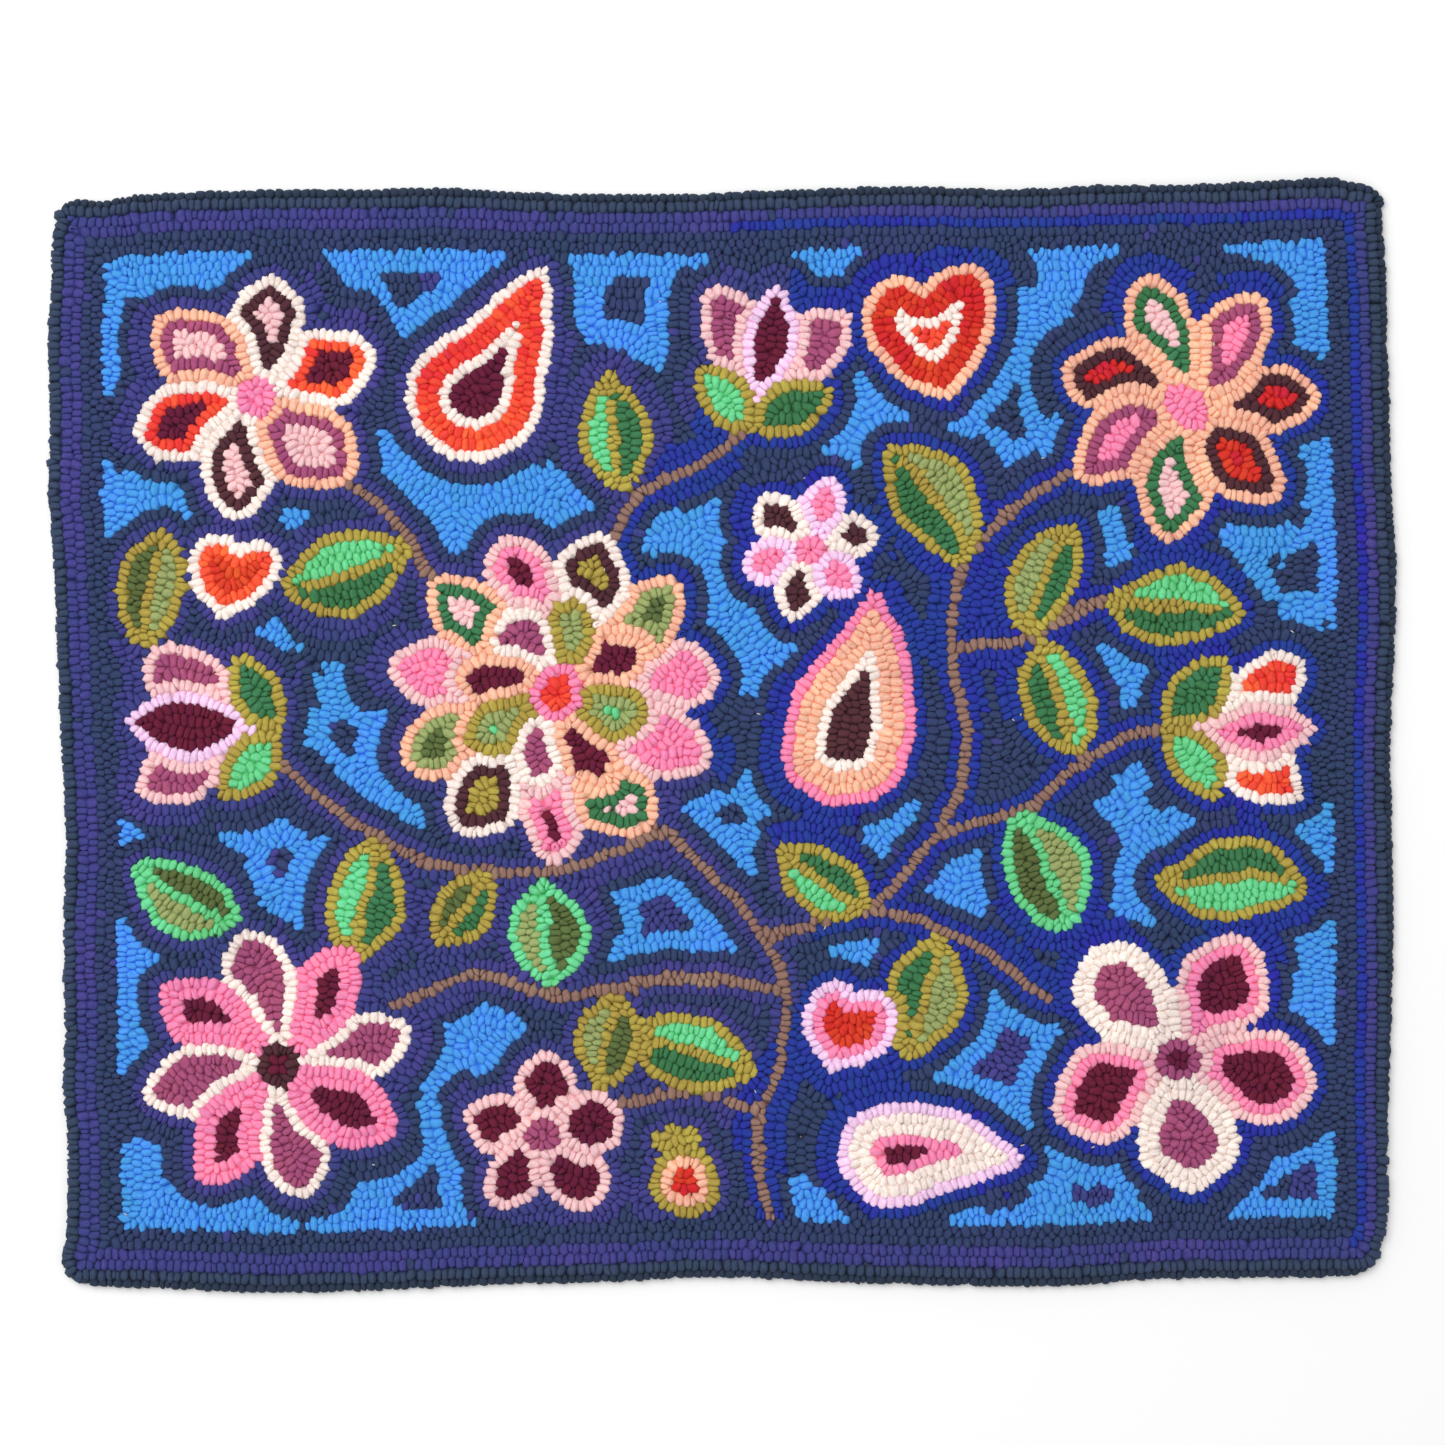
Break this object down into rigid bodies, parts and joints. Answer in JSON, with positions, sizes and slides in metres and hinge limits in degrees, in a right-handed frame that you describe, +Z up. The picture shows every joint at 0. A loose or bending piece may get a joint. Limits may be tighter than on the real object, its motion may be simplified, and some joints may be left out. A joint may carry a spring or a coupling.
{
  "type": "hooked rug",
  "caption": "Flat rectangular hooked rug of jersey loops on a woven foundation, with flowers and leaves on a blue ground and a rolled navy edge.",
  "frame": {"origin": "middle of the rug's outline, on the surface it lies on", "axes": "+X along the long side to the right, +Y along the short side to the top, +Z up out of the pile"},
  "size_m": [0.9264, 0.7662, 0.0099],
  "materials": {
    "foundation": "natural woven cotton, matt",
    "loops": "matt knitted cotton jersey strips, hooked in close loops",
    "edge_strip": "matt navy knitted jersey strip worked over the edge"
  },
  "bodies": {
    "root": {"foundation_cloth": "foundation", "hooked_pile": "loops", "edge_top": "edge_strip", "edge_bottom": "edge_strip", "edge_left": "edge_strip", "edge_right": "edge_strip"}
  },
  "joints": []
}
